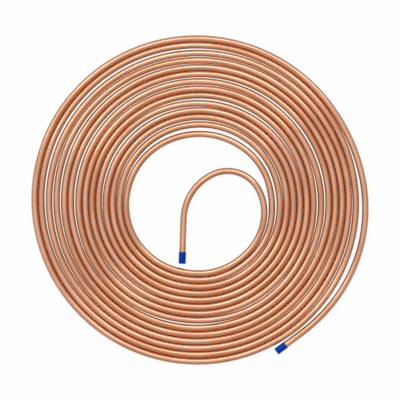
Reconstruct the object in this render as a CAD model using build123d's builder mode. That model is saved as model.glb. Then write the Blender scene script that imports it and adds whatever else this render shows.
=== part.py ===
"""Loose flat coil of soft copper tube with a vinyl cap on each end.

Millimetres. The coil lies flat: +Z is the winding axis and Z = 0 is what it lies on.
The origin is under the middle of the coil. Seen from above, the tube starts at the
outer end, lower right, and winds counterclockwise towards the middle. Places round the
coil are clock angles: degrees clockwise from +Y, seen from above.
"""

import math
import os

from build123d import *

# Tube
tube_od = 4.76
tube_wall = 0.89
tube_bore = tube_od - 2 * tube_wall

# Winding: each turn lies beside the one outside it, nearly touching
turns = 14
touch_gap = 0.13
outer_radius = 121.3
oval = 0.6
oval_angle = 120.0
outer_end_angle = 151.0
station_angle = 30.0

# Where the loose turns stand apart:
# turn outside the gap, clock angles between which the gap runs, and its widest opening
loose_gaps = [
    (2, -150, 62, 1.25),
    (2, 70, 150, 0.5),
    (3, -150, -40, 0.6),
    (3, -75, 60, 0.4),
    (3, 92, 160, 0.3),
    (4, -150, 32, 0.85),
    (6, -150, 20, 0.85),
    (6, -40, 145, 1.0),
    (6, 150, 225, 0.75),
    (7, -72, 50, 0.42),
    (7, 60, 118, 0.7),
    (7, 120, 178, 0.45),
    (8, 195, 260, 0.3),
    (9, -50, 88, 1.05),
    (9, 195, 240, 0.25),
    (10, -118, 25, 1.0),
    (12, -115, 75, 0.65),
    (12, 40, 100, 0.4),
    (12, 110, 175, 0.3),
    (13, -105, 130, 2.1),
    (13, 60, 128, 0.4),
]

# Outer end: the tube springs away from the coil, then runs straight into its cap
spring_from_angle = 54.0
spring_to_angle = 162.0
spring_widest = 2.6
outer_bend_angle = 9.4

# Inner end: it leaves the last turn, swings across the middle and runs straight to its cap.
# Each bend is its radius, as a share of the radius left open inside the turns, and its angle.
inner_bend_angle = 15.0
inner_bends = [(0.81, 44), (0.655, 31.5), (0.49, 87), (0.717, 61.5)]
inner_end_gap = 3.6

# Caps: soft vinyl cups pushed over the ends
cap_length = 8.6
cap_wall = 0.3
cap_fit = 0.05
cap_floor = 0.8
cap_round = 0.5
cap_lip_round = 0.15
cap_od = tube_od + 2 * (cap_fit + cap_wall)
tube_in_cap = cap_length - cap_floor

# A cap is fatter than the tube, so each end rises until its cap clears what it lies on
end_rise = (cap_od - tube_od) / 2
rise_run = 14.0

winding_pitch = tube_od + touch_gap
full_turn = 360


def swell(travelled, start, end, widest):
    """Smooth rise and fall between two places along the tube."""
    if not start < travelled < end:
        return 0.0
    return widest * math.sin(math.pi * (travelled - start) / (end - start)) ** 2


def looseness(travelled):
    """Extra gap between a place on the tube and the turn outside it."""
    extra = 0.0
    for turn, low_clock, high_clock, widest in loose_gaps:
        start = (outer_end_angle - high_clock) % full_turn + full_turn * turn
        extra += swell(travelled, start, start + high_clock - low_clock, widest)
    return extra


def winding_radius(travelled):
    """Distance from the winding axis after so many degrees round from the outer end."""
    clock = outer_end_angle - travelled
    radius = outer_radius + oval * math.cos(math.radians(2 * (clock - oval_angle)))
    radius -= winding_pitch * travelled / full_turn
    spring_start = outer_end_angle - spring_to_angle
    spring_end = outer_end_angle - spring_from_angle
    radius += swell(travelled, spring_start, spring_end, spring_widest)
    while travelled > full_turn:
        radius -= looseness(travelled)
        travelled -= full_turn
    return radius


def from_axis(travelled):
    """Centre of the tube, measured from the winding axis."""
    clock = math.radians(outer_end_angle - travelled)
    radius = winding_radius(travelled)
    return Vector(radius * math.sin(clock), radius * math.cos(clock))


# The winding axis lies a little off the origin, which is under the middle of the outermost turn
outermost = [from_axis(travelled) for travelled in range(full_turn)]
axis_x = -(max(place.X for place in outermost) + min(place.X for place in outermost)) / 2
axis_y = -(max(place.Y for place in outermost) + min(place.Y for place in outermost)) / 2
axis = Vector(axis_x, axis_y, tube_od / 2)


def centre_at(travelled):
    """Centre of the tube after so many degrees round from the outer end."""
    return axis + from_axis(travelled)


def heading_at(travelled):
    """Direction of the tube there, winding inwards."""
    return (from_axis(travelled + 0.05) - from_axis(travelled - 0.05)).normalized()


def add_two_arcs(start, start_heading, end, end_heading):
    """Two arcs, tangent to each other and to both headings, from one place to the next."""
    chord = end - start
    headings = start_heading + end_heading
    along = chord.dot(headings)
    spread = 2 * (1 - start_heading.dot(end_heading))
    reach = (math.sqrt(along**2 + spread * chord.dot(chord)) - along) / spread
    start_arm = start + start_heading * reach
    end_arm = end - end_heading * reach
    joint = (start_arm + end_arm) / 2
    TangentArc(start, joint, tangent=start_heading)
    TangentArc(joint, end, tangent=end_arm - start_arm)


def add_end(start, heading):
    """End of the tube: two gentle arcs lift it by end_rise, then it enters its cap level."""
    raised = start + heading * rise_run + Vector(0, 0, end_rise)
    middle = (start + raised) / 2
    lift = TangentArc(start, middle, tangent=heading)
    TangentArc(middle, raised, tangent=lift % 1)
    tip = raised + heading * tube_in_cap
    Line(raised, tip)
    return tip


def straight_leg(start, heading):
    """Length of the straight before the inner cap, which stops short of the innermost turn."""
    reach = start - axis
    ahead = reach.dot(heading)
    leg = 0.0
    for _ in range(3):
        place = reach + heading * leg
        clock = math.degrees(math.atan2(place.X, place.Y))
        turn_radius = winding_radius(full_turn * (turns - 1) + (outer_end_angle - clock) % full_turn)
        to_turn = math.sqrt(ahead**2 - reach.dot(reach) + turn_radius**2) - ahead
        leg = to_turn - tube_od / 2 - inner_end_gap - cap_floor - tube_in_cap - rise_run
    return leg


# Centre line of the tube: the winding in pairs of arcs, then both ends
first_station = outer_bend_angle
last_station = full_turn * turns + inner_bend_angle
open_radius = winding_radius(last_station)
span_count = round((last_station - first_station) / station_angle)
span = (last_station - first_station) / span_count
stations = [first_station + span * number for number in range(span_count + 1)]

with BuildLine() as centre_line:
    for here, there in zip(stations, stations[1:]):
        add_two_arcs(centre_at(here), heading_at(here), centre_at(there), heading_at(there))

    outer_heading = heading_at(first_station) * -1
    outer_tip = add_end(centre_at(first_station), outer_heading)

    bend_start = centre_at(last_station)
    inner_heading = heading_at(last_station)
    for radius_share, bend_angle in inner_bends:
        bend = JernArc(bend_start, inner_heading, open_radius * radius_share, bend_angle)
        bend_start = bend @ 1
        inner_heading = bend % 1
    leg_end = bend_start + inner_heading * straight_leg(bend_start, inner_heading)
    Line(bend_start, leg_end)
    inner_tip = add_end(leg_end, inner_heading)

# The tube itself, one drawn length from tip to tip
with BuildPart() as copper_tube:
    with BuildSketch(Plane(outer_tip, z_dir=outer_heading * -1)):
        Circle(tube_od / 2)
        Circle(tube_bore / 2, mode=Mode.SUBTRACT)
    sweep(path=centre_line.line)


def make_cap(tip, heading):
    """Cup over one end: the tip of the tube meets its floor, inside."""
    mouth = Plane(tip - heading * tube_in_cap, z_dir=heading)
    with BuildPart() as cap:
        with BuildSketch(mouth):
            Circle(cap_od / 2)
        extrude(amount=cap_length)
        rims = cap.edges().filter_by(GeomType.CIRCLE).sort_by(Axis(mouth.origin, heading))
        fillet(rims[-1], cap_round)
        fillet(rims[0], cap_lip_round)
        with BuildSketch(mouth):
            Circle(tube_od / 2 + cap_fit)
        extrude(amount=tube_in_cap, mode=Mode.SUBTRACT)
    return cap.part


outer_end_cap = make_cap(outer_tip, outer_heading)
inner_end_cap = make_cap(inner_tip, inner_heading)

copper_tube.part.label = "copper_tube"
outer_end_cap.label = "outer_end_cap"
inner_end_cap.label = "inner_end_cap"

os.makedirs("parts", exist_ok=True)
export_step(copper_tube.part, "parts/copper_tube.step")
export_step(outer_end_cap, "parts/outer_end_cap.step")
export_step(inner_end_cap, "parts/inner_end_cap.step")

tube_length = sum(edge.length for edge in centre_line.edges())
section = math.pi * (tube_od**2 - tube_bore**2) / 4
tightest = open_radius * min(radius_share for radius_share, bend_angle in inner_bends)
print(f"tube {tube_length:.0f} mm, tightest bend {tightest:.1f} mm")
print(f"tube volume {copper_tube.part.volume:.0f}, section times length {section * tube_length:.0f}")
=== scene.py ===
import math

import bmesh
import bpy
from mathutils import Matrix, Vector


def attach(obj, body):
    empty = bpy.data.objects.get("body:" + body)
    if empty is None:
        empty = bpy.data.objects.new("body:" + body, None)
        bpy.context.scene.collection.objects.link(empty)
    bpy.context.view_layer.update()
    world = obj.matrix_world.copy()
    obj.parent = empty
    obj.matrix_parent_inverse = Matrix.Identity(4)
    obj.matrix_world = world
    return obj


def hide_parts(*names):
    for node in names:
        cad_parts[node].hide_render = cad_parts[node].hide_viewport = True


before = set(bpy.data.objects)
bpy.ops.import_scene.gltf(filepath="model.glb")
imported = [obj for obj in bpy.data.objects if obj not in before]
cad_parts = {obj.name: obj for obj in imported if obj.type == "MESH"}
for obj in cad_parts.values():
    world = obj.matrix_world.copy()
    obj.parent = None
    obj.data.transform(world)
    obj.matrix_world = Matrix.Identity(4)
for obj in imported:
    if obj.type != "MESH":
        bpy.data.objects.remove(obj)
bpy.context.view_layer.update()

print("frame loaded")


class Sock:
    # one output of a node, so that node maths reads as plain arithmetic
    def __init__(self, book, out):
        self.book = book
        self.out = out

    def __add__(self, other):
        return self.book.maths("ADD", self, other)

    def __sub__(self, other):
        return self.book.maths("SUBTRACT", self, other)

    def __rsub__(self, other):
        return self.book.maths("SUBTRACT", other, self)

    def __mul__(self, other):
        return self.book.maths("MULTIPLY", self, other)

    def __truediv__(self, other):
        return self.book.maths("DIVIDE", self, other)

    def __rtruediv__(self, other):
        return self.book.maths("DIVIDE", other, self)

    __radd__ = __add__
    __rmul__ = __mul__


class NodeBook:
    # writes nodes into one tree
    def __init__(self, tree):
        self.tree = tree

    def put(self, socket, value):
        if isinstance(value, Sock):
            self.tree.links.new(value.out, socket)
        elif socket.type == "RGBA" and len(value) == 3:
            socket.default_value = (*value, 1)
        else:
            socket.default_value = value

    def node(self, kind, settings=None, sockets=None, out=0):
        made = self.tree.nodes.new(kind)
        for name, value in (settings or {}).items():
            if name == "capture":
                made.capture_items.new(*value)
            else:
                setattr(made, name, value)
        for name, value in (sockets or {}).items():
            self.put(made.inputs[name], value)
        if out is None:
            return made
        return Sock(self, made.outputs[out])

    def maths(self, operation, first, second=0.0):
        return self.node("ShaderNodeMath", {"operation": operation}, {0: first, 1: second})

    def ramp(self, value, low, high, kind="SMOOTHSTEP"):
        sockets = {"Value": value, "From Min": low, "From Max": high}
        return self.node("ShaderNodeMapRange", {"interpolation_type": kind}, sockets)

    def blend(self, amount, first, second):
        # colours: sockets 6 and 7 of a Mix node are its colour inputs, output 2 its colour
        sockets = {0: amount, 6: first, 7: second}
        return self.node("ShaderNodeMix", {"data_type": "RGBA"}, sockets, out=2)

    def scaled(self, vector, factors):
        sockets = {0: vector, 1: factors}
        return self.node("ShaderNodeVectorMath", {"operation": "MULTIPLY"}, sockets)

    def noise(self, vector, scale=1.0, detail=3.0, roughness=0.5):
        sockets = {"Vector": vector, "Scale": scale, "Detail": detail, "Roughness": roughness}
        return self.node("ShaderNodeTexNoise", None, sockets)


def materialBook(name):
    material = bpy.data.materials.new(name)
    material.use_nodes = True
    material.node_tree.nodes.clear()
    return material, NodeBook(material.node_tree)


# Metres. The coil lies flat on z = 0. A clock angle runs clockwise from +Y, seen from above.
# Along the tube, "travelled" counts the degrees gone round since the outer end.
tube = {
    "diameter": 0.00476,
    "wall": 0.00089,
    "sides": 36,
    "boreSides": 12,
    "degreesPerRing": 3.5,
    "straightRing": 0.003,  # length of one ring where the tube is straight
}

winding = {
    "turns": 14,
    "touchGap": 0.00013,
    "outerRadius": 0.1213,
    "oval": 0.0006,
    "ovalAngle": 120.0,
    "outerEndAngle": 151.0,
    # turn outside the gap, clock angles between which it runs, widest opening
    "looseGaps": [
        (2, -150, 62, 0.00125),
        (2, 70, 150, 0.0005),
        (3, -150, -40, 0.0006),
        (3, -75, 60, 0.0004),
        (3, 92, 160, 0.0003),
        (4, -150, 32, 0.00085),
        (6, -150, 20, 0.00085),
        (6, -40, 145, 0.001),
        (6, 150, 225, 0.00075),
        (7, -72, 50, 0.00042),
        (7, 60, 118, 0.0007),
        (7, 120, 178, 0.00045),
        (8, 195, 260, 0.0003),
        (9, -50, 88, 0.00105),
        (9, 195, 240, 0.00025),
        (10, -118, 25, 0.001),
        (12, -115, 75, 0.00065),
        (12, 40, 100, 0.0004),
        (12, 110, 175, 0.0003),
        (13, -105, 130, 0.0021),
        (13, 60, 128, 0.0004),
    ],
    "spring": (54, 162, 0.0026),  # the outer end stands off the next turn here
}

ends = {
    "outerBendAngle": 9.4,
    "innerBendAngle": 15.0,
    # radius as a share of the radius left open inside the turns, and degrees
    "innerBends": [(0.81, 44), (0.655, 31.5), (0.49, 87), (0.717, 61.5)],
    "innerEndGap": 0.0036,
    "riseRun": 0.014,
}

cap = {
    "length": 0.0086,
    "wall": 0.0003,
    "fit": 0.00005,
    "floor": 0.0008,
    "round": 0.0005,
    "lipRound": 0.00015,
    "sides": 96,
    "roundRings": 8,
    "dimple": 0.00015,  # the soft hollow in the middle of the closed end
    "dimpleShare": 0.8,  # of the flat of that end
    "dimpleRings": 4,
    "waist": 0.00004,  # how far the skirt draws in behind the lip
    "waistAt": (0.00387, 0.0006),  # distances from the mouth, deep and near the lip
}
cap["radius"] = tube["diameter"] / 2 + cap["fit"] + cap["wall"]
cap["tubeInside"] = cap["length"] - cap["floor"]
ends["rise"] = cap["radius"] - tube["diameter"] / 2


def swell(travelled, start, end, widest):
    if not start < travelled < end:
        return 0.0
    return widest * math.sin(math.pi * (travelled - start) / (end - start)) ** 2


def looseness(travelled):
    extra = 0.0
    for turn, low, high, widest in winding["looseGaps"]:
        start = (winding["outerEndAngle"] - high) % 360 + 360 * turn
        extra += swell(travelled, start, start + high - low, widest)
    return extra


def windingRadius(travelled):
    clock = winding["outerEndAngle"] - travelled
    oval = winding["oval"] * math.cos(math.radians(2 * (clock - winding["ovalAngle"])))
    radius = winding["outerRadius"] + oval
    radius -= (tube["diameter"] + winding["touchGap"]) * travelled / 360
    low, high, widest = winding["spring"]
    start = winding["outerEndAngle"] - high
    radius += swell(travelled, start, start + high - low, widest)
    while travelled > 360:
        radius -= looseness(travelled)
        travelled -= 360
    return radius


def fromAxis(travelled):
    clock = math.radians(winding["outerEndAngle"] - travelled)
    return Vector((math.sin(clock), math.cos(clock), 0)) * windingRadius(travelled)


def windingAxis():
    # the middle of the outermost turn is over the origin
    outermost = [fromAxis(travelled) for travelled in range(360)]
    middleX, middleY = [
        (max(place[side] for place in outermost) + min(place[side] for place in outermost)) / 2
        for side in (0, 1)
    ]
    return Vector((-middleX, -middleY, tube["diameter"] / 2))


def headingAt(travelled):
    step = 0.05
    return (fromAxis(travelled + step) - fromAxis(travelled - step)).normalized()


def turned(vector, degrees):
    # a level vector, turned counterclockwise
    cos, sin = math.cos(math.radians(degrees)), math.sin(math.radians(degrees))
    return Vector((vector.x * cos - vector.y * sin, vector.x * sin + vector.y * cos, 0))


def bendPoints(start, heading, radius, degrees):
    # one arc to the left, without its first point
    arm = turned(heading, -90) * radius
    rings = max(2, round(degrees / tube["degreesPerRing"]))
    return [start - arm + turned(arm, degrees * ring / rings) for ring in range(1, rings + 1)]


def straightPoints(start, heading, length):
    rings = max(1, round(length / tube["straightRing"]))
    return [start + heading * (length * ring / rings) for ring in range(1, rings + 1)]


def straightLeg(reach, heading):
    # length of the straight before the inner cap, which stops short of the innermost turn
    ahead = reach.dot(heading)
    leg = 0.0
    for _ in range(3):  # each round starts from the leg found before it
        place = reach + heading * leg
        clock = math.degrees(math.atan2(place.x, place.y))
        gone = 360 * (winding["turns"] - 1) + (winding["outerEndAngle"] - clock) % 360
        toTurn = math.sqrt(ahead**2 - reach.dot(reach) + windingRadius(gone) ** 2) - ahead
        leg = toTurn - tube["diameter"] / 2 - ends["innerEndGap"] - cap["length"] - ends["riseRun"]
    return leg


def endPoints(start, heading):
    # two gentle arcs lift the end, then it runs level into its cap
    run, rise = ends["riseRun"], ends["rise"]
    bend = (run**2 + rise**2) / (4 * rise)
    rings = 2 * round(run / tube["straightRing"])
    points = []
    for ring in range(1, rings + 1):
        along = run * ring / rings
        near = min(along, run - along)
        lift = bend - math.sqrt(bend**2 - near**2)
        height = lift if along <= run / 2 else rise - lift
        points.append(start + heading * along + Vector((0, 0, height)))
    return points + straightPoints(points[-1], heading, cap["tubeInside"])


def centreLine():
    first = ends["outerBendAngle"]
    last = 360 * winding["turns"] + ends["innerBendAngle"]
    rings = round((last - first) / tube["degreesPerRing"])
    span = (last - first) / rings
    wound = [coilAxis + fromAxis(first + span * ring) for ring in range(rings + 1)]
    outerHeading = -headingAt(first)
    outer = endPoints(wound[0], outerHeading)
    inner, heading = [wound[-1]], headingAt(last)
    for share, degrees in ends["innerBends"]:
        inner += bendPoints(inner[-1], heading, windingRadius(last) * share, degrees)
        heading = turned(heading, degrees)
    inner += straightPoints(inner[-1], heading, straightLeg(inner[-1] - coilAxis, heading))
    inner += endPoints(inner[-1], heading)
    return outer[::-1] + wound + inner[1:], (outer[-1], outerHeading), (inner[-1], heading)


def sideGaps(place):
    # clear space from a point of the centre line to the turns outside and inside it
    reach = place - coilAxis
    clock = math.degrees(math.atan2(reach.x, reach.y))
    start = (winding["outerEndAngle"] - clock) % 360
    gaps = [tube["diameter"], tube["diameter"]]  # a wider gap counts as this one
    for turn in range(winding["turns"]):
        if start + 360 * turn < ends["outerBendAngle"]:
            continue  # the outer end has left the winding here
        away = windingRadius(start + 360 * turn) - reach.xy.length
        side = 0 if away > 0 else 1
        if abs(away) > tube["diameter"] / 2:
            gaps[side] = min(gaps[side], abs(away) - tube["diameter"])
    return gaps


coilAxis = windingAxis()
path, outerTip, innerTip = centreLine()
print("centre line of", len(path), "rings")


def tubeNodes():
    tree = bpy.data.node_groups.new("drawnTube", "GeometryNodeTree")
    inputs = {
        "Centre Line": "Geometry",
        "Tube Radius": "Float",
        "Bore Radius": "Float",
        "Sides": "Int",
        "Bore Sides": "Int",
        "Copper": "Material",
    }
    for name, kind in inputs.items():
        tree.interface.new_socket(name, in_out="INPUT", socket_type="NodeSocket" + kind)
    tree.interface.new_socket("Tube", in_out="OUTPUT", socket_type="NodeSocketGeometry")
    book = NodeBook(tree)
    given = book.node("NodeGroupInput", out=None)
    centre, tubeRadius, boreRadius, sides, boreSides, copper = [
        Sock(book, given.outputs[name]) for name in inputs
    ]

    line = book.node("GeometryNodeMeshToCurve", None, {"Mesh": centre})
    line = book.node("GeometryNodeSetCurveNormal", {"mode": "Z_UP"}, {"Curve": line})
    gone = book.node("GeometryNodeSplineParameter", out="Length")
    keep = {"capture": ("FLOAT", "Gone")}
    marked = book.node("GeometryNodeCaptureAttribute", keep, {"Geometry": line}, out=None)
    book.put(marked.inputs["Gone"], gone)
    line, gone = Sock(book, marked.outputs["Geometry"]), Sock(book, marked.outputs["Gone"])

    def wallOf(radius, count):
        # the swept wall, which keeps where each point is round the tube and how far along
        sizes = {"Resolution": count, "Radius": radius}
        ring = book.node("GeometryNodeCurvePrimitiveCircle", None, sizes)
        keep = {"capture": ("VECTOR", "Place")}
        held = book.node("GeometryNodeCaptureAttribute", keep, {"Geometry": ring}, out=None)
        book.put(held.inputs["Place"], book.node("GeometryNodeInputPosition"))
        swept = {"Curve": line, "Profile Curve": Sock(book, held.outputs["Geometry"])}
        wall = book.node("GeometryNodeCurveToMesh", None, swept)
        place = {0: Sock(book, held.outputs["Place"])}
        x, y = [book.node("ShaderNodeSeparateXYZ", None, place, out=name) for name in "XY"]
        along = book.node("ShaderNodeCombineXYZ", None, {"X": x, "Y": y, "Z": gone})
        settings = {"data_type": "FLOAT_VECTOR", "domain": "POINT"}
        stored = {"Geometry": wall, "Name": "alongTube", "Value": along}
        return book.node("GeometryNodeStoreNamedAttribute", settings, stored)

    outside = wallOf(tubeRadius, sides)
    bore = book.node("GeometryNodeFlipFaces", None, {"Mesh": wallOf(boreRadius, boreSides)})
    both = book.node("GeometryNodeJoinGeometry", out=None)
    for part in (outside, bore):
        tree.links.new(part.out, both.inputs[0])
    smooth = book.node("GeometryNodeSetShadeSmooth", None, {"Geometry": Sock(book, both.outputs[0])})
    real = book.node("GeometryNodeRealizeInstances", None, {"Geometry": smooth})
    done = book.node("GeometryNodeSetMaterial", None, {"Geometry": real, "Material": copper})
    book.node("NodeGroupOutput", None, {"Tube": done}, out=None)
    return tree


def copperMaterial():
    material, book = materialBook("drawnCopper")
    look = {
        "bright": (0.90, 0.475, 0.295),
        "deep": (0.72, 0.325, 0.17),
        "pink": (0.87, 0.49, 0.36),
        "contactShade": (0.66, 0.285, 0.07),  # painted shade on the sides, where the turns lie together
        "open": (0.24, 0.125, 0.075),  # painted shade on the sides, where they stand apart
        "openGap": (0.0003, 0.0011),  # between turns this far apart, the painted contact shade becomes the painted open shade
        "side": (0.6, 0.97),  # shares of the radius over which the painted side shade comes in
        "sideAmount": 0.85,
        "sideShadeUneven": 0.2,
        # noise per mm, across the tube and along it, and the part of it that shows
        "cloud": (0.25, 0.25, 0.03),
        "cloudFrom": (0.35, 0.65),
        "drift": (0.5, 0.5, 0.006),
        "driftFrom": (0.4, 0.7),
        "driftAmount": 0.6,
        "lines": (4.0, 4.0, 0.04),
        "rough": 0.12,
        "linesRough": 0.08,
        "sideRough": 0.1,
        "bump": 0.05,
        "bumpDepth": 0.0001,
    }
    along = book.node("ShaderNodeAttribute", {"attribute_name": "alongTube"}, out="Vector")
    inMm = book.scaled(along, (1000, 1000, 1000))
    # slow changes of tone down the length, then fine lines drawn along it by the die
    cloud = book.noise(book.scaled(inMm, look["cloud"]), detail=4.0, roughness=0.55)
    drift = book.noise(book.scaled(inMm, look["drift"]), detail=2.0)
    lines = book.noise(book.scaled(inMm, look["lines"]), detail=4.0, roughness=0.6)
    tone = book.blend(book.ramp(cloud, *look["cloudFrom"]), look["deep"], look["bright"])
    tone = book.blend(book.ramp(drift, *look["driftFrom"]) * look["driftAmount"], tone, look["pink"])
    # painted shade on the sides of the tube, set by the gap to the next turn on whichever side the
    # point is
    sideways = book.node("ShaderNodeSeparateXYZ", None, {0: along}, out="X")
    outwards = book.maths("GREATER_THAN", sideways, 0.0)
    gaps = {0: book.node("ShaderNodeAttribute", {"attribute_name": "sideGaps"}, out="Vector")}
    outer, inner = [book.node("ShaderNodeSeparateXYZ", None, gaps, out=name) for name in "XY"]
    gap = outer * outwards + inner * (1 - outwards)
    share = book.maths("ABSOLUTE", sideways) / (tube["diameter"] / 2)
    # mask of the sides that take the painted shade; the sides are also made rougher
    side = book.ramp(share + (lines - 0.5) * look["sideShadeUneven"], *look["side"])
    paintedSideShade = book.blend(book.ramp(gap, *look["openGap"]), look["contactShade"], look["open"])
    # the painted side shade darkens the copper's tone towards both edges
    tone = book.blend(side * look["sideAmount"], tone, paintedSideShade)
    rough = look["rough"] + lines * look["linesRough"] + side * look["sideRough"]
    grain = {"Strength": look["bump"], "Distance": look["bumpDepth"], "Height": lines}
    bump = book.node("ShaderNodeBump", None, grain)
    shader = book.node("ShaderNodeBsdfPrincipled", None, {
        "Base Color": tone, "Metallic": 1.0, "Roughness": rough, "Normal": bump,
    })
    book.node("ShaderNodeOutputMaterial", None, {"Surface": shader}, out=None)
    return material


def vinylMaterial():
    material, book = materialBook("blueVinyl")
    look = {
        "blue": (0.0, 0.034, 0.39),
        "shade": (0.0, 0.02, 0.26),
        "cloud": 0.5,  # noise per mm
        "cloudFrom": (0.35, 0.7),
        "sheen": 0.9,
        "sheenColour": (0.06, 0.32, 1.0, 1.0),
        "rough": 0.1,
        "skin": 2.5,  # noise per mm
        "skinRough": 0.08,
        "bump": 0.15,
        "bumpDepth": 0.0002,
    }
    place = book.node("ShaderNodeTexCoord", out="Object")
    inMm = book.scaled(place, (1000, 1000, 1000))
    cloud = book.noise(inMm, look["cloud"])
    skin = book.noise(inMm, look["skin"])
    tone = book.blend(book.ramp(cloud, *look["cloudFrom"]), look["blue"], look["shade"])
    rough = look["rough"] + skin * look["skinRough"]
    grain = {"Strength": look["bump"], "Distance": look["bumpDepth"], "Height": skin}
    bump = book.node("ShaderNodeBump", None, grain)
    shader = book.node("ShaderNodeBsdfPrincipled", None, {
        "Base Color": tone, "Roughness": rough, "Normal": bump,
        "Specular IOR Level": look["sheen"], "Specular Tint": look["sheenColour"],
    })
    book.node("ShaderNodeOutputMaterial", None, {"Surface": shader}, out=None)
    return material


copper = copperMaterial()
vinyl = vinylMaterial()


def plainMesh(source, name):
    # the evaluated modifiers of the source as a plain mesh object
    evaluated = source.evaluated_get(bpy.context.evaluated_depsgraph_get())
    mesh = bpy.data.meshes.new_from_object(evaluated)
    source.modifiers.clear()
    bpy.data.objects.remove(source)
    mesh.name = name
    piece = bpy.data.objects.new(name, mesh)
    bpy.context.scene.collection.objects.link(piece)
    return piece


def makeTube():
    mesh = bpy.data.meshes.new("centreLine")
    mesh.from_pydata(path, [(number, number + 1) for number in range(len(path) - 1)], [])
    gaps = mesh.attributes.new("sideGaps", "FLOAT_VECTOR", "POINT")
    for held, place in zip(gaps.data, path):
        held.vector = (*sideGaps(place), 0)
    source = bpy.data.objects.new("centreLine", mesh)
    bpy.context.scene.collection.objects.link(source)
    tree = tubeNodes()
    modifier = source.modifiers.new("drawn tube", "NODES")
    modifier.node_group = tree
    sizes = {
        "Tube Radius": tube["diameter"] / 2,
        "Bore Radius": tube["diameter"] / 2 - tube["wall"],
        "Sides": tube["sides"],
        "Bore Sides": tube["boreSides"],
        "Copper": copper,
    }
    for item in tree.interface.items_tree:
        if item.in_out == "INPUT" and item.name in sizes:
            modifier[item.identifier] = sizes[item.name]
    piece = plainMesh(source, "copperTube")
    # close the wall at its two cut ends
    work = bmesh.new()
    work.from_mesh(piece.data)
    rims = [edge for edge in work.edges if edge.is_boundary]
    for tip, _ in (outerTip, innerTip):
        near = [edge for edge in rims if (edge.verts[0].co - tip).length < tube["diameter"]]
        bmesh.ops.bridge_loops(work, edges=near)
    bmesh.ops.recalc_face_normals(work, faces=work.faces)
    work.to_mesh(piece.data)
    work.free()
    return piece


def quarter(rings):
    # sine and cosine at even steps over a quarter turn
    angles = [math.pi / 2 * ring / rings for ring in range(rings + 1)]
    return [(math.sin(angle), math.cos(angle)) for angle in angles]


def capOutline():
    # half section of a cap: distance along it from the mouth, and radius
    length, outside, lip, crown = cap["length"], cap["radius"], cap["lipRound"], cap["round"]
    inside = outside - cap["wall"]
    skirt = outside - cap["waist"]
    bottom = length - cap["floor"]
    points = [(length - cap["dimple"], 0.0)]
    for ring, (sine, cosine) in enumerate(quarter(cap["dimpleRings"])[1:], 1):
        share = cap["dimpleShare"] * ring / cap["dimpleRings"]
        points.append((length - cap["dimple"] * cosine**2, (outside - crown) * share))
    for sine, cosine in quarter(cap["roundRings"]):
        points.append((length - crown + crown * cosine, skirt - crown + crown * sine))
    points += [(along, skirt) for along in cap["waistAt"]]
    for sine, cosine in quarter(cap["roundRings"]):
        points.append((lip - lip * sine, outside - lip + lip * cosine))
    # round the lip and up the inside
    points += [(0.0, inside + lip / 2), (lip / 2, inside), (bottom - lip, inside)]
    return points + [(bottom, inside - lip), (bottom, 0.0)]


def makeCap(name, tip, heading):
    side = Vector((-heading.y, heading.x, 0))
    mouth = tip - heading * cap["tubeInside"]
    angles = [math.tau * number / cap["sides"] for number in range(cap["sides"])]
    spokes = [side * math.cos(angle) + Vector((0, 0, math.sin(angle))) for angle in angles]
    work = bmesh.new()
    rings = []
    for along, radius in capOutline():
        centre = mouth + heading * along
        reach = spokes if radius else [Vector()]
        rings.append([work.verts.new(centre + spoke * radius) for spoke in reach])
    for here, there in zip(rings, rings[1:]):
        for number in range(cap["sides"]):
            after = (number + 1) % cap["sides"]
            corners = [here[number % len(here)], here[after % len(here)]]
            corners += [there[after % len(there)], there[number % len(there)]]
            work.faces.new(list(dict.fromkeys(corners)))
    bmesh.ops.recalc_face_normals(work, faces=work.faces)
    for face in work.faces:
        face.smooth = True
    mesh = bpy.data.meshes.new(name)
    work.to_mesh(mesh)
    work.free()
    mesh.materials.append(vinyl)
    piece = bpy.data.objects.new(name, mesh)
    bpy.context.scene.collection.objects.link(piece)
    return piece


tubePiece = makeTube()
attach(tubePiece, "root")
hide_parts("copper_tube")
print("tube made")

for capName, capNode, (capTip, capHeading) in (
    ("outerEndCap", "outer_end_cap", outerTip),
    ("innerEndCap", "inner_end_cap", innerTip),
):
    capPiece = makeCap(capName, capTip, capHeading)
    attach(capPiece, "root")
    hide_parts(capNode)
print("caps made")


studio = {
    "floorSize": 8.0,
    "floorColour": (0.96, 0.96, 0.96),
    "floorWhite": 0.92,  # how much of the floor's own white shows past its shading
    # the floor between turns: the shares of the sky that it sees, over which that white
    # comes in, and over which the warm light that the copper throws on it goes out
    "slit": (0.03, 0.065),
    "slitOpen": (0.12, 0.45),
    "slitWarm": (1.0, 0.95, 0.86),
    "skyReach": 0.03,
    "skySamples": 32,
    "horizon": 0.25,
    "zenith": 0.88,
    "lean": (-0.18, 0.25),  # how much brighter the room is towards +X and +Y
    "keyPower": 5.2,
    "keySize": (2.0, 0.24),
    "keyAt": (-0.1, 0.62, 1.1),
}


def seenRays(book):
    # 1 for rays from the camera, and in what is mirrored or seen through glass
    rays = book.node("ShaderNodeLightPath", out=None)
    names = ("Is Camera Ray", "Is Glossy Ray", "Is Transmission Ray")
    camera, glossy, through = [Sock(book, rays.outputs[name]) for name in names]
    return book.maths("MAXIMUM", book.maths("MAXIMUM", camera, glossy), through)


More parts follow.
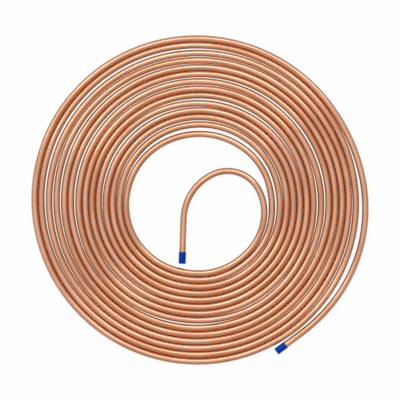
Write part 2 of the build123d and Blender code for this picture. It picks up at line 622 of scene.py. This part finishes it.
def makeFloor():
    material, book = materialBook("paleFloor")
    shaded = book.node("ShaderNodeBsdfDiffuse", None, {"Color": studio["floorColour"]})
    settings, reach = {"samples": studio["skySamples"]}, {"Distance": studio["skyReach"]}
    sky = book.node("ShaderNodeAmbientOcclusion", settings, reach, out="AO")
    light = book.blend(book.ramp(sky, *studio["slitOpen"]), studio["slitWarm"], (1, 1, 1))
    white = book.node("ShaderNodeEmission", None, {"Color": light, "Strength": 1.0})
    amount = seenRays(book) * book.ramp(sky, *studio["slit"], kind="LINEAR") * studio["floorWhite"]
    surface = book.node("ShaderNodeMixShader", None, {0: amount, 1: shaded, 2: white})
    book.node("ShaderNodeOutputMaterial", None, {"Surface": surface}, out=None)
    half = studio["floorSize"] / 2
    corners = [(-half, -half, 0), (half, -half, 0), (half, half, 0), (-half, half, 0)]
    mesh = bpy.data.meshes.new("floor")
    mesh.from_pydata(corners, [], [(0, 1, 2, 3)])
    mesh.materials.append(material)
    floor = bpy.data.objects.new("floor", mesh)
    bpy.context.scene.collection.objects.link(floor)


def makeWorld():
    # a pale room, brighter overhead and towards the key light
    world = bpy.data.worlds.new("studio")
    bpy.context.scene.world = world
    world.use_nodes = True
    world.node_tree.nodes.clear()
    book = NodeBook(world.node_tree)
    towards = {0: book.node("ShaderNodeTexCoord", out="Generated")}
    x, y, z = [book.node("ShaderNodeSeparateXYZ", None, towards, out=name) for name in "XYZ"]
    level = z * (studio["zenith"] - studio["horizon"]) + studio["horizon"]
    level = level * (x * studio["lean"][0] + y * studio["lean"][1] + 1.0)
    sky = book.node("ShaderNodeBackground", None, {"Color": (1, 1, 1), "Strength": level})
    book.node("ShaderNodeOutputWorld", None, {"Surface": sky}, out=None)


def softbox(name, power, size, at):
    data = bpy.data.lights.new(name, "AREA")
    data.shape = "RECTANGLE"
    data.size, data.size_y = size
    data.energy = power
    lamp = bpy.data.objects.new(name, data)
    lamp.location = at
    lamp.rotation_euler = (-Vector(at)).to_track_quat("-Z", "Y").to_euler()
    bpy.context.scene.collection.objects.link(lamp)


def makeCamera():
    # straight above the coil through a long lens; the frame is 400 pixels wide
    view = {"height": 1.6, "pixelSize": 0.00073, "pixels": 400, "sensor": 36}
    data = bpy.data.cameras.new("camera")
    data.sensor_width = view["sensor"]
    data.lens = data.sensor_width * view["height"] / (view["pixelSize"] * view["pixels"])
    data.clip_end = 50
    camera = bpy.data.objects.new("camera", data)
    camera.location = (0, 0, view["height"])
    bpy.context.scene.collection.objects.link(camera)
    bpy.context.scene.camera = camera


makeFloor()
makeWorld()
softbox("key", studio["keyPower"], studio["keySize"], studio["keyAt"])
makeCamera()
bpy.context.scene.view_settings.view_transform = "Standard"
print("studio made")
